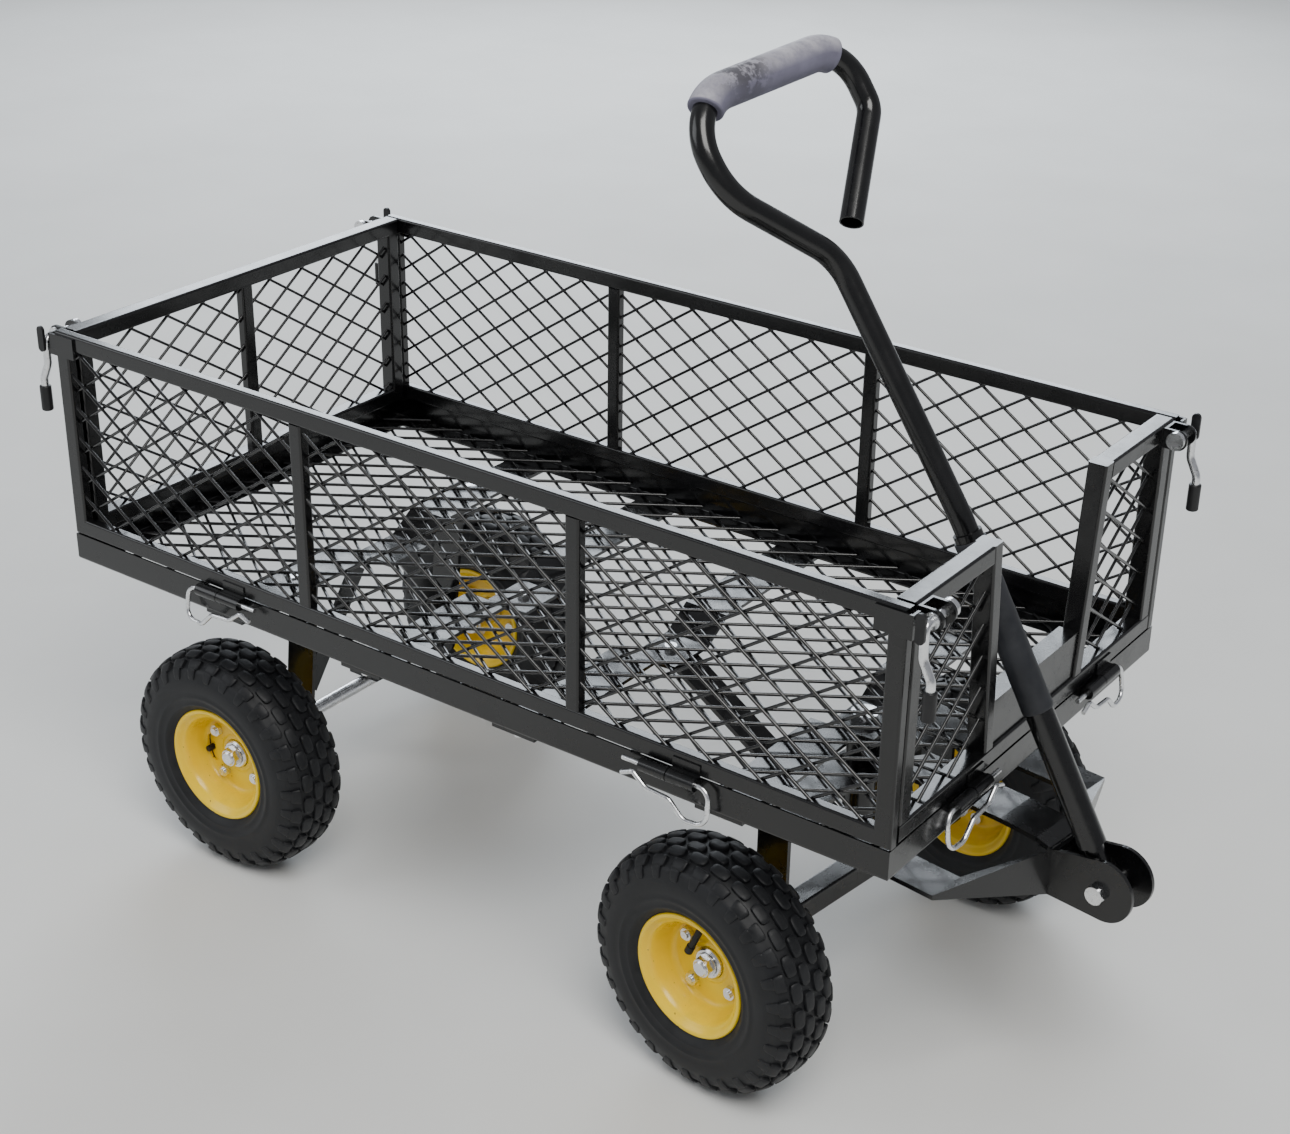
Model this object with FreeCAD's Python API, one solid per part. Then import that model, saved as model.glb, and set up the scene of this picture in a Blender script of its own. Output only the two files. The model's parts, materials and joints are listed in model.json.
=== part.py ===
"""Four-wheel steel mesh garden cart, in millimetres.

+X is the steered front, +Y the cart's left side, +Z up.  The origin is on the ground under the middle of the
whole cart.  The shapes are drawn from the middle of the tray with the front wheels straight; at the end the
steered group is turned to its rest angle and everything is moved to the origin.
"""

import FreeCAD, Part
import math
import os

V = FreeCAD.Vector

# ---------------------------------------------------------------- driving sizes
TRAY_LENGTH = 1026.0
TRAY_WIDTH = 524.0
SKIRT_BOTTOM = 330.0
SKIRT_TOP = 361.0
SHEET = 2.0
FLANGE = 25.0

PANEL_GAP = 1.0
PANEL_TOP = 594.0
SIDE_RAIL_HEIGHT = 18.0
SIDE_RAIL_DEPTH = 12.0
END_RAIL_DEPTH = 20.0
TUBE_WALL = 1.6
MID_POST_WIDTH = 16.0
SIDE_MID_POST_X = 170.0
CORNER_GAP = 2.0

NOTCH_HALF_TOP = 100.0
NOTCH_HALF_BOTTOM = 85.0
NOTCH_FLOOR = 427.0
PLATE_THICKNESS = 3.0
PLATE_FLANGE = 20.0

WIRE = 3.2
DIAMOND_LONG = 52.0
DIAMOND_SHORT = 35.0
FLOOR_WIRE = 3.6

WHEEL_RADIUS = 130.0
TYRE_HALF_WIDTH = 42.0
FRONT_WHEEL_X = 333.0
REAR_WHEEL_X = -330.0
WHEEL_Y = 219.0
AXLE_RADIUS = 8.0
RUNNING_CLEARANCE = 0.05
RIM_LIP_RADIUS = 66.0
RIM_LIP_OFFSET = 34.0
HUB_RADIUS = 16.0
RIM_BOLT_CIRCLE = 35.0
VALVE_CIRCLE = 40.5
VALVE_SLOT_REACH = 11.3
VALVE_SLOT_RADIUS = 5.2
VALVE_RADIUS = 3.6

STRAP_THICKNESS = 4.0
STRAP_WIDTH = 52.0
STRAP_DIP = 22.0
STRAP_CENTRES = {"rear": (-292.0, -100.0), "front": (97.0, 335.0)}

KINGPIN_X = FRONT_WHEEL_X
KINGPIN_RADIUS = 10.0
SWIVEL_TUBE_RADIUS = 17.0
BAR_THICKNESS = 5.0
LEG_WIDTH = 38.0
CROSS_Z = 256.0
STEER_REST = -7.0

HITCH_X = 623.0
HITCH_Z = 250.0
HITCH_BOLT_RADIUS = 6.0
EAR_INNER = 15.5
EAR_THICKNESS = 4.0
EAR_RADIUS = 31.0
HITCH_REAR_X = 571.0

HANDLE_LEAN_LOWER = 64.1
HANDLE_LEAN_UPPER = 59.3
HANDLE_SIDE_LEAN = 8.3
LUG_RADIUS = 9.5
LUG_LENGTH = 44.0
LOWER_TUBE_RADIUS = 13.5
UPPER_TUBE_RADIUS = 11.0
SLEEVE_RADIUS = 15.2
SLEEVE_START = 184.0
SLEEVE_END = 355.0
LOWER_TUBE_END = 362.0
UPPER_TUBE_START = 300.0
HANDLE_BEND = 374.0
GRIP_RADIUS = 16.2
GRIP_LEFT_TURN = 38.0
GRIP_RIGHT_TURN = 34.0

HINGE_OFFSET = 7.0
HINGE_Z = 357.0
HINGE_WIRE = 2.4
BARREL_RADIUS = 6.5
SIDE_HINGE_X = 286.0
END_HINGE_Y = 130.0

ROD_OFFSET = 15.0
ROD_Z = 583.0
ROD_RADIUS = 4.5

MIDDLE_OF_CART_X = 58.5

HALF_L = TRAY_LENGTH / 2
HALF_W = TRAY_WIDTH / 2
PANEL_BOTTOM = SKIRT_TOP + PANEL_GAP
PANEL_HEIGHT = PANEL_TOP - PANEL_BOTTOM
END_PANEL_HALF = HALF_W - SIDE_RAIL_DEPTH - CORNER_GAP


# ---------------------------------------------------------------- helpers
def box(x0, x1, y0, y1, z0, z1):
    lo = V(min(x0, x1), min(y0, y1), min(z0, z1))
    hi = V(max(x0, x1), max(y0, y1), max(z0, z1))
    return Part.makeBox(hi.x - lo.x, hi.y - lo.y, hi.z - lo.z, lo)


def rod(start, end, radius):
    run = end - start
    return Part.makeCylinder(radius, run.Length, start, run)


def ring(start, end, radius, bore):
    return rod(start, end, radius).cut(rod(start, end, bore))


def prism(points, push):
    """A flat polygon pushed along a vector."""
    loop = [V(*p) for p in points]
    return Part.Face(Part.makePolygon(loop + [loop[0]])).extrude(V(*push))


def mirror_y(shape):
    return shape.mirror(V(0, 0, 0), V(0, 1, 0))


def mirror_x(shape):
    return shape.mirror(V(0, 0, 0), V(1, 0, 0))


def fuse(shapes):
    whole = shapes[0]
    for extra in shapes[1:]:
        whole = whole.fuse(extra)
    return whole.removeSplitter()


def group(shapes):
    return Part.makeCompound(shapes)


def hexagon(centre, axis, across, height):
    """A hexagonal nut or bolt head whose base is at centre, standing along axis."""
    corner = across / math.sqrt(3)
    turns = [math.radians(60 * i) for i in range(6)]
    prism_z = prism([(corner * math.cos(a), corner * math.sin(a), 0) for a in turns], (0, 0, height))
    crown = Part.makeCone(across * 0.78, across * 0.5, height * 1.7, V(0, 0, -height * 0.7))
    solid = prism_z.common(crown)
    solid.Placement = FreeCAD.Placement(centre, FreeCAD.Rotation(V(0, 0, 1), axis))
    return solid


def path_edges(points, radii):
    """Lines and arcs in turn along points, with each inside corner rounded to the radius given for it."""
    edges = []
    at = points[0]
    for i in range(1, len(points) - 1):
        here = points[i]
        back = (points[i - 1] - here).normalize()
        ahead = (points[i + 1] - here).normalize()
        half = back.getAngle(ahead) / 2
        reach = radii[i - 1] / math.tan(half)
        first = here + back * reach
        last = here + ahead * reach
        middle_way = (back + ahead).normalize()
        centre = here + middle_way * (radii[i - 1] / math.sin(half))
        edges.append(Part.makeLine(at, first))
        edges.append(Part.Arc(first, centre - middle_way * radii[i - 1], last).toShape())
        at = last
    edges.append(Part.makeLine(at, points[-1]))
    return edges


def sweep(edges, radius):
    """A round bar along joined edges."""
    start = edges[0].valueAt(edges[0].FirstParameter)
    circle = Part.makeCircle(radius, start, edges[0].tangentAt(edges[0].FirstParameter))
    return Part.Wire(edges).makePipeShell([Part.Wire([circle])], True, False)


def pipe(points, radii, radius):
    """A round bar bent along a rounded polyline."""
    return sweep(path_edges(points, radii), radius)


def bent_strap(points, low, high, thickness, along):
    """A flat bar bent along points, which are its middle line.

    along is "x" when the bar's run is in the XZ plane and its width in Y, and "y" when the run is in YZ.
    """
    above, below = [], []
    for i, (u, w) in enumerate(points):
        before = points[max(i - 1, 0)]
        after = points[min(i + 1, len(points) - 1)]
        first = math.atan2(w - before[1], u - before[0]) if i else math.atan2(after[1] - w, after[0] - u)
        second = math.atan2(after[1] - w, after[0] - u) if i < len(points) - 1 else first
        turn = (first + second) / 2 + math.pi / 2
        reach = thickness / 2 / math.cos((second - first) / 2)
        above.append((u + reach * math.cos(turn), w + reach * math.sin(turn)))
        below.append((u - reach * math.cos(turn), w - reach * math.sin(turn)))
    outline = above + below[::-1]
    if along == "x":
        return prism([(u, low, w) for u, w in outline], (0, high - low, 0))
    return prism([(low, u, w) for u, w in outline], (high - low, 0, 0))


def square_tube(x0, x1, y0, y1, z0, z1, along, wall, round_edge=2.5):
    """A rectangular tube with rounded long edges, open at both ends."""
    outer = box(x0, x1, y0, y1, z0, z1)
    way = {"x": V(1, 0, 0), "y": V(0, 1, 0), "z": V(0, 0, 1)}[along]

    def long_edges(shape):
        return [e for e in shape.Edges if abs(e.tangentAt(e.FirstParameter).dot(way)) > 0.99]

    outer = outer.makeFillet(round_edge, long_edges(outer))
    inset = [wall, wall, wall]
    inset["xyz".index(along)] = -1.0
    inner = box(x0 + inset[0], x1 - inset[0], y0 + inset[1], y1 - inset[1], z0 + inset[2], z1 - inset[2])
    inner = inner.makeFillet(max(round_edge - wall, 0.5), long_edges(inner))
    return outer.cut(inner)


def mitre_cut(tube, corner, inward_u, inward_z, across, plane):
    """Take the far side of a 45 degree corner plane off a tube.

    corner is the frame's outside corner; the kept side is the one the inward run along the tube lies on.
    """
    big = 400.0
    u0, z0 = corner
    diagonal = (inward_u, inward_z)
    off = (-inward_u, inward_z) if plane[0] == "u" else (inward_u, -inward_z)
    a = (u0 - diagonal[0] * 5, z0 - diagonal[1] * 5)
    b = (u0 + diagonal[0] * big, z0 + diagonal[1] * big)
    c = (b[0] + off[0] * big, b[1] + off[1] * big)
    d = (a[0] + off[0] * big, a[1] + off[1] * big)
    if plane[1] == "x":
        wedge = prism([(p[0], -across, p[1]) for p in (a, b, c, d)], (0, 2 * across, 0))
    else:
        wedge = prism([(-across, p[0], p[1]) for p in (a, b, c, d)], (2 * across, 0, 0))
    return tube.cut(wedge)


def rectangle_frame(half, z0, z1, near, far, width, plane):
    """Four mitred tubes round a rectangle that is centred on u = 0.

    plane "x": the frame lies in XZ and is near..far deep in Y.  plane "y": it lies in YZ and is deep in X.
    """
    parts = []
    for side in (-1, 1):
        for kind in ("post", "rail"):
            if kind == "post":
                lo, hi = sorted((side * half, side * (half - width)))
                span = (lo, hi, z0, z1)
            else:
                lo, hi = (z0, z0 + width) if side < 0 else (z1 - width, z1)
                span = (-half, half, lo, hi)
            along = "z" if kind == "post" else plane
            if plane == "x":
                tube = square_tube(span[0], span[1], near, far, span[2], span[3], along, TUBE_WALL)
            else:
                tube = square_tube(near, far, span[0], span[1], span[2], span[3], along, TUBE_WALL)
            if kind == "post":
                for z, up in ((z0, 1), (z1, -1)):
                    tube = mitre_cut(tube, (side * half, z), -side, up, 2000.0, ("z", plane))
            else:
                z, up = (z0, 1) if side < 0 else (z1, -1)
                for end in (-1, 1):
                    tube = mitre_cut(tube, (end * half, z), -end, up, 2000.0, ("u", plane))
            parts.append(tube)
    return parts


def diamond_wires(u0, u1, w0, w1, wire, clip, place):
    """Two crossing layers of straight wires over a rectangle, each wire trimmed by the clip solid.

    place(u, w, depth) gives the 3-D point.  The two layers just touch.
    """
    slope = DIAMOND_SHORT / DIAMOND_LONG
    wires = []
    height = w1 - w0
    run = height / slope
    middle = (u0 + u1) / 2
    count = int(((u1 - u0) / 2 + run) / DIAMOND_LONG) + 2
    for sign in (-1, 1):
        depth = sign * (wire / 2 + 0.01)
        for i in range(-count, count + 1):
            foot = middle + (i + 0.25) * DIAMOND_LONG
            head = foot + sign * run
            reach = 12.0
            drift = sign * reach / slope
            start = place(foot - drift, w0 - reach, depth)
            end = place(head + drift, w1 + reach, depth)
            if max(foot, head) < u0 + 4 or min(foot, head) > u1 - 4:
                continue
            piece = rod(start, end, wire / 2).common(clip)
            wires += [s for s in piece.Solids if s.Volume > 8 * wire]
    return wires


nodes = {}

# ---------------------------------------------------------------- tray edge rails, folded from sheet
def folded_rail(length):
    """An L-shaped sheet rail along X, upright at y = 0 and flange towards +y, mitred at both ends."""
    fold = 4.0
    half = length / 2
    outer = box(-half, half, 0, FLANGE, SKIRT_BOTTOM, SKIRT_TOP)
    lower = [
        e
        for e in outer.Edges
        if abs(e.CenterOfMass.y) < 0.01 and abs(e.CenterOfMass.z - SKIRT_BOTTOM) < 0.01
    ]
    outer = outer.makeFillet(fold, lower)
    inner = box(-half - 1, half + 1, SHEET, FLANGE + 1, SKIRT_BOTTOM + SHEET, SKIRT_TOP + 1)
    lower = [
        e
        for e in inner.Edges
        if abs(e.CenterOfMass.y - SHEET) < 0.01 and abs(e.CenterOfMass.z - SKIRT_BOTTOM - SHEET) < 0.01
    ]
    inner = inner.makeFillet(fold - SHEET, lower)
    rail = outer.cut(inner)
    for end in (-1, 1):
        corner = [(end * half, 0, 0), (end * (half - 60), 60, 0), (end * (half + 60), 60, 0)]
        rail = rail.cut(prism(corner, (0, 0, 900)))
    return rail


side_rail = folded_rail(TRAY_LENGTH)
side_rail.translate(V(0, -HALF_W, 0))
end_rail = folded_rail(TRAY_WIDTH)
end_rail.rotate(V(0, 0, 0), V(0, 0, 1), 90)
end_rail.translate(V(HALF_L, 0, 0))
nodes["tray_side_rails"] = group([side_rail, mirror_y(side_rail)])
nodes["tray_end_rails"] = group([end_rail, mirror_x(end_rail)])

# ---------------------------------------------------------------- wire floor
floor_z = SKIRT_BOTTOM + SHEET + FLOOR_WIRE + 0.05
floor_l = HALF_L - SHEET - 2
floor_w = HALF_W - SHEET - 2
floor_clip = box(-floor_l, floor_l, -floor_w, floor_w, floor_z - 10, floor_z + 10)


def on_floor(u, w, depth):
    return V(u, w, floor_z + depth)


nodes["floor_mesh"] = group(diamond_wires(-HALF_L, HALF_L, -HALF_W, HALF_W, FLOOR_WIRE, floor_clip, on_floor))

# ---------------------------------------------------------------- cross straps with a dip in the middle
strap_mid = SKIRT_BOTTOM - STRAP_THICKNESS / 2
strap_line = [
    (-HALF_W + 3, strap_mid),
    (-64, strap_mid),
    (-30, strap_mid - STRAP_DIP),
    (30, strap_mid - STRAP_DIP),
    (64, strap_mid),
    (HALF_W - 3, strap_mid),
]
dip_bottom = strap_mid - STRAP_DIP - STRAP_THICKNESS / 2
for end, centres in STRAP_CENTRES.items():
    straps = []
    for x in centres:
        strap = bent_strap(strap_line, x - STRAP_WIDTH / 2, x + STRAP_WIDTH / 2, STRAP_THICKNESS, "y")
        if end == "front" and x > 200:
            strap = strap.cut(rod(V(KINGPIN_X, 0, 280), V(KINGPIN_X, 0, 330), KINGPIN_RADIUS))
        straps.append(strap)
    nodes[end + "_cross_straps"] = group(straps)

# ---------------------------------------------------------------- rear axle, hangers and braces
HANGER_Y = 120.0
FOOT_LENGTH = 42.0
foot_x = STRAP_CENTRES["rear"][0] - 18.0
foot_top = SKIRT_BOTTOM - STRAP_THICKNESS


def rear_hanger():
    half = LEG_WIDTH / 2
    low, high = -HANGER_Y - BAR_THICKNESS, -HANGER_Y
    leg = prism(
        [
            (REAR_WHEEL_X - half, low, WHEEL_RADIUS),
            (REAR_WHEEL_X + half, low, WHEEL_RADIUS),
            (foot_x + half, low, foot_top - BAR_THICKNESS),
            (foot_x + half, low, foot_top),
            (foot_x - half, low, foot_top),
            (foot_x - half, low, foot_top - BAR_THICKNESS),
        ],
        (0, high - low, 0),
    )
    eye = rod(V(REAR_WHEEL_X, low, WHEEL_RADIUS), V(REAR_WHEEL_X, high, WHEEL_RADIUS), half)
    foot = box(foot_x - half, foot_x + half, low, low - FOOT_LENGTH, foot_top - BAR_THICKNESS, foot_top)
    hole = rod(V(REAR_WHEEL_X, low - 1, WHEEL_RADIUS), V(REAR_WHEEL_X, high + 1, WHEEL_RADIUS), AXLE_RADIUS)
    return group([fuse([leg, eye]).cut(hole), foot])


nodes["rear_hangers"] = group([rear_hanger(), mirror_y(rear_hanger())])


HUB_INNER_END = -45.0
HUB_OUTER_END = 7.0
INNER_STOP = WHEEL_Y + HUB_INNER_END - 3.0
AXLE_HALF = WHEEL_Y + HUB_OUTER_END + 12.0


def axle_end_fittings(x):
    """Washer and nut at one outer end of an axle, and the washer on the inner side of the wheel."""
    inner = ring(V(x, INNER_STOP, WHEEL_RADIUS), V(x, INNER_STOP + 2.5, WHEEL_RADIUS), 14.0, AXLE_RADIUS)
    start = WHEEL_Y + HUB_OUTER_END + 0.5
    washer = ring(V(x, start, WHEEL_RADIUS), V(x, start + 2.0, WHEEL_RADIUS), 12.0, AXLE_RADIUS)
    nut = hexagon(V(x, start + 2.0, WHEEL_RADIUS), V(0, 1, 0), 19.0, 7.0)
    nut = nut.cut(rod(V(x, start, WHEEL_RADIUS), V(x, start + 20, WHEEL_RADIUS), AXLE_RADIUS))
    return [inner, washer, nut]


def axle_shaft(x):
    shaft = rod(V(x, -AXLE_HALF, WHEEL_RADIUS), V(x, AXLE_HALF, WHEEL_RADIUS), AXLE_RADIUS)
    ends = [e for e in shaft.Edges if e.Closed]
    return shaft.makeChamfer(1.2, ends)


rear_fittings = axle_end_fittings(REAR_WHEEL_X)
rear_fittings += [mirror_y(s) for s in rear_fittings]
nodes["rear_axle"] = group([axle_shaft(REAR_WHEEL_X)] + rear_fittings)

brace_top = dip_bottom - BAR_THICKNESS / 2
axle_top = WHEEL_RADIUS + AXLE_RADIUS + BAR_THICKNESS / 2
rear_brace_line = [
    (REAR_WHEEL_X - 20, axle_top),
    (REAR_WHEEL_X + 22, axle_top),
    (STRAP_CENTRES["rear"][1] - 22, brace_top),
    (STRAP_CENTRES["rear"][1] + 20, brace_top),
]
long_brace = bent_strap(rear_brace_line, -LEG_WIDTH / 2, LEG_WIDTH / 2, BAR_THICKNESS, "x")
stay_x = STRAP_CENTRES["rear"][0] - STRAP_WIDTH / 2
stay = bent_strap([(-HANGER_Y + 0.05, 172.0), (-33.0, dip_bottom - 12.0)], stay_x, stay_x + 4.0, 24.0, "y")
stay = stay.common(box(stay_x - 1, stay_x + 5, -HANGER_Y, -24.0, 140, dip_bottom))
nodes["rear_braces"] = group([long_brace, stay, mirror_y(stay)])

# ---------------------------------------------------------------- kingpin and its long brace
BRACE_PLATE_Z = 175.0
front_brace_line = [
    (STRAP_CENTRES["front"][0] - 20, brace_top),
    (STRAP_CENTRES["front"][0] + 16, brace_top),
    (KINGPIN_X - 26, BRACE_PLATE_Z),
    (KINGPIN_X + 24, BRACE_PLATE_Z),
]
front_brace = bent_strap(front_brace_line, -LEG_WIDTH / 2, LEG_WIDTH / 2, BAR_THICKNESS, "x")
front_brace = front_brace.cut(rod(V(KINGPIN_X, 0, 150), V(KINGPIN_X, 0, 200), KINGPIN_RADIUS))
nodes["front_brace"] = front_brace

TUBE_LOW = BRACE_PLATE_Z + BAR_THICKNESS / 2 + 3.0
TUBE_HIGH = dip_bottom - 3.5
pin_bottom = BRACE_PLATE_Z - BAR_THICKNESS / 2 - 12.0
head_z = dip_bottom + STRAP_THICKNESS
kingpin = [
    rod(V(KINGPIN_X, 0, pin_bottom), V(KINGPIN_X, 0, head_z), KINGPIN_RADIUS),
    hexagon(V(KINGPIN_X, 0, head_z), V(0, 0, 1), 28.0, 9.0),
]
king_nut = hexagon(V(KINGPIN_X, 0, BRACE_PLATE_Z - BAR_THICKNESS / 2), V(0, 0, -1), 28.0, 9.0)
king_nut = king_nut.cut(rod(V(KINGPIN_X, 0, 150), V(KINGPIN_X, 0, 180), KINGPIN_RADIUS))
low_washer = ring(
    V(KINGPIN_X, 0, TUBE_LOW - 3.0), V(KINGPIN_X, 0, TUBE_LOW - 0.3), SWIVEL_TUBE_RADIUS, KINGPIN_RADIUS
)
top_washer = ring(
    V(KINGPIN_X, 0, TUBE_HIGH + 0.3), V(KINGPIN_X, 0, dip_bottom), SWIVEL_TUBE_RADIUS, KINGPIN_RADIUS
)
nodes["kingpin"] = group([fuse(kingpin), king_nut, low_washer, top_washer])

# ---------------------------------------------------------------- bolts under the tray
under_bolts = []
for end, centres in STRAP_CENTRES.items():
    for x in centres:
        for side in (-1, 1):
            y = side * (HALF_W - 14)
            under_bolts.append(hexagon(V(x, y, SKIRT_BOTTOM - STRAP_THICKNESS), V(0, 0, -1), 13.0, 5.0))
for side in (-1, 1):
    y = side * (HANGER_Y + 30)
    under_bolts.append(hexagon(V(foot_x + 10, y, foot_top - BAR_THICKNESS), V(0, 0, -1), 13.0, 5.5))
    under_bolts.append(rod(V(foot_x + 10, y, SKIRT_BOTTOM), V(foot_x + 10, y, SKIRT_BOTTOM + 1.7), 8.0))
for x in (STRAP_CENTRES["rear"][1], STRAP_CENTRES["front"][0]):
    under_bolts.append(hexagon(V(x, 0, dip_bottom + STRAP_THICKNESS), V(0, 0, 1), 13.0, 5.0))
    under_bolts.append(hexagon(V(x, 0, dip_bottom - BAR_THICKNESS), V(0, 0, -1), 13.0, 5.0))
nodes["strap_bolts"] = group(under_bolts)

# ---------------------------------------------------------------- front swivel frame
swivel_cross = box(KINGPIN_X - 25, KINGPIN_X + 25, -155, 155, CROSS_Z, CROSS_Z + BAR_THICKNESS)
swivel_cross = swivel_cross.cut(
    rod(V(KINGPIN_X, 0, CROSS_Z - 5), V(KINGPIN_X, 0, CROSS_Z + 10), SWIVEL_TUBE_RADIUS)
)
swivel_bore = KINGPIN_RADIUS + RUNNING_CLEARANCE
swivel_tube = ring(
    V(KINGPIN_X, 0, TUBE_LOW), V(KINGPIN_X, 0, TUBE_HIGH), SWIVEL_TUBE_RADIUS, swivel_bore
)
BEAM = 25.0
beam_top = WHEEL_RADIUS + BEAM / 2
beam_low = WHEEL_RADIUS - BEAM / 2
front_leg = box(KINGPIN_X - LEG_WIDTH / 2, KINGPIN_X + LEG_WIDTH / 2, -135.5, -130.5, beam_top, CROSS_Z)
nodes["swivel_frame"] = group([swivel_cross, swivel_tube])
nodes["front_legs"] = group([front_leg, mirror_y(front_leg)])
BEAM_HALF = 168.0
beam = square_tube(
    KINGPIN_X - BEAM / 2, KINGPIN_X + BEAM / 2, -BEAM_HALF, BEAM_HALF, beam_low, beam_top, "y", 2.5
)
plug = box(KINGPIN_X - 10, KINGPIN_X + 10, 140, BEAM_HALF, WHEEL_RADIUS - 10, WHEEL_RADIUS + 10)
plug = plug.cut(rod(V(KINGPIN_X, 139, WHEEL_RADIUS), V(KINGPIN_X, BEAM_HALF + 1, WHEEL_RADIUS), AXLE_RADIUS))
nodes["axle_beam"] = fuse([beam, plug, mirror_y(plug)])
front_fittings = axle_end_fittings(FRONT_WHEEL_X)
spacer_start = V(FRONT_WHEEL_X, BEAM_HALF, WHEEL_RADIUS)
spacer_end = V(FRONT_WHEEL_X, INNER_STOP, WHEEL_RADIUS)
front_fittings.append(ring(spacer_start, spacer_end, 12.0, AXLE_RADIUS))
front_fittings += [mirror_y(s) for s in front_fittings]
nodes["front_axle"] = group([axle_shaft(FRONT_WHEEL_X)] + front_fittings)

# ---------------------------------------------------------------- tongue and hitch
TONGUE_BEND_X = 526.0
TONGUE_OUTER = 142.0
TONGUE_INNER = 100.0
EAR_LOW = 224.0
EAR_HIGH = 274.0
EAR_CENTRE_X = HITCH_X + 5.0
EAR_CENTRE_Z = HITCH_Z + 4.0
ear_outer = EAR_INNER + EAR_THICKNESS
flat_strap = box(
    KINGPIN_X + 25, TONGUE_BEND_X, -TONGUE_OUTER, -TONGUE_INNER, CROSS_Z, CROSS_Z + BAR_THICKNESS
)


def loop_wire(corners):
    points = [V(*c) for c in corners]
    return Part.makePolygon(points + [points[0]])


twist = Part.makeLoft(
    [
        loop_wire(
            [
                (TONGUE_BEND_X, -TONGUE_OUTER, CROSS_Z),
                (TONGUE_BEND_X, -TONGUE_INNER, CROSS_Z),
                (TONGUE_BEND_X, -TONGUE_INNER, CROSS_Z + BAR_THICKNESS),
                (TONGUE_BEND_X, -TONGUE_OUTER, CROSS_Z + BAR_THICKNESS),
            ]
        ),
        loop_wire(
            [
                (HITCH_REAR_X, -EAR_INNER, EAR_LOW),
                (HITCH_REAR_X, -EAR_INNER, EAR_HIGH),
                (HITCH_REAR_X, -ear_outer, EAR_HIGH),
                (HITCH_REAR_X, -ear_outer, EAR_LOW),
            ]
        ),
    ],
    True,
    True,
)
side_strap = group([flat_strap, twist])
nodes["tongue_side_straps"] = group([side_strap, mirror_y(side_strap)])
centre_line = [
    (KINGPIN_X + 19, CROSS_Z + BAR_THICKNESS * 1.5),
    (KINGPIN_X + 32, CROSS_Z + BAR_THICKNESS * 1.5),
    (400.0, 283.0),
    (515.0, 283.0),
    (556.0, 281.0),
    (HITCH_REAR_X, EAR_HIGH + BAR_THICKNESS / 2),
]
nodes["tongue_centre_strap"] = bent_strap(centre_line, -25.0, 25.0, BAR_THICKNESS, "x")


def hitch_ear():
    corners = [
        (HITCH_REAR_X, -ear_outer, EAR_LOW),
        (HITCH_REAR_X, -ear_outer, EAR_HIGH),
        (EAR_CENTRE_X - 7, -ear_outer, EAR_CENTRE_Z + EAR_RADIUS - 0.8),
        (EAR_CENTRE_X, -ear_outer, EAR_CENTRE_Z),
        (EAR_CENTRE_X - 2, -ear_outer, EAR_CENTRE_Z - EAR_RADIUS + 0.1),
    ]
    blade = prism(corners, (0, EAR_THICKNESS, 0))
    nose_start = V(EAR_CENTRE_X, -ear_outer, EAR_CENTRE_Z)
    nose = rod(nose_start, nose_start + V(0, EAR_THICKNESS, 0), EAR_RADIUS)
    hole = rod(V(HITCH_X, -40, HITCH_Z), V(HITCH_X, 0, HITCH_Z), HITCH_BOLT_RADIUS)
    return fuse([blade, nose]).cut(hole)


web = box(HITCH_REAR_X, HITCH_REAR_X + 4, -EAR_INNER, EAR_INNER, EAR_LOW, EAR_HIGH)
nodes["hitch_bracket"] = fuse([hitch_ear(), mirror_y(hitch_ear()), web])
bolt = fuse(
    [
        rod(V(HITCH_X, -ear_outer, HITCH_Z), V(HITCH_X, ear_outer + 12, HITCH_Z), HITCH_BOLT_RADIUS),
        hexagon(V(HITCH_X, -ear_outer, HITCH_Z), V(0, -1, 0), 18.0, 7.0),
    ]
)
nut = hexagon(V(HITCH_X, ear_outer, HITCH_Z), V(0, 1, 0), 18.0, 9.0)
nut = nut.cut(rod(V(HITCH_X, 0, HITCH_Z), V(HITCH_X, 60, HITCH_Z), HITCH_BOLT_RADIUS))
nodes["hitch_bolt"] = group([bolt, nut])

# ---------------------------------------------------------------- handle
low_way = V(-math.cos(math.radians(HANDLE_LEAN_LOWER)), 0, math.sin(math.radians(HANDLE_LEAN_LOWER)))
up_way = V(-math.cos(math.radians(HANDLE_LEAN_UPPER)), 0, math.sin(math.radians(HANDLE_LEAN_UPPER)))
pivot = V(HITCH_X, 0, HITCH_Z)
bend = pivot + low_way * HANDLE_BEND
lower_tube = rod(pivot + low_way * LUG_LENGTH, pivot + low_way * LOWER_TUBE_END, LOWER_TUBE_RADIUS)
lower_tube = lower_tube.cut(
    rod(pivot + low_way * (LUG_LENGTH + 14), pivot + low_way * HANDLE_BEND, UPPER_TUBE_RADIUS)
)
lug = rod(pivot - low_way * 15, pivot + low_way * (LUG_LENGTH + 5), LUG_RADIUS)
nodes["handle_lower_tube"] = fuse([lower_tube, lug])
nodes["handle_sleeve"] = ring(
    pivot + low_way * SLEEVE_START, pivot + low_way * SLEEVE_END, SLEEVE_RADIUS, LOWER_TUBE_RADIUS
)


def loop_point(across, up):
    return bend + up_way * up + V(0, across, 0)


LOOP_LEFT = -86.0
LOOP_RIGHT = 115.0
handle_points = [
    pivot + low_way * UPPER_TUBE_START,
    bend,
    loop_point(0, 255),
    loop_point(LOOP_LEFT, 347),
    loop_point(LOOP_LEFT, 428),
    loop_point(LOOP_RIGHT, 419),
    loop_point(LOOP_RIGHT, 357),
    loop_point(33, 276),
]
handle_radii = [200.0, 60.0, 70.0, 48.0, 42.0, 22.0]
handle_line = path_edges(handle_points, handle_radii)
upper = sweep(handle_line, UPPER_TUBE_RADIUS)
nodes["handle_upper_tube"] = upper.cut(sweep(handle_line, UPPER_TUBE_RADIUS - TUBE_WALL))

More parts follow.
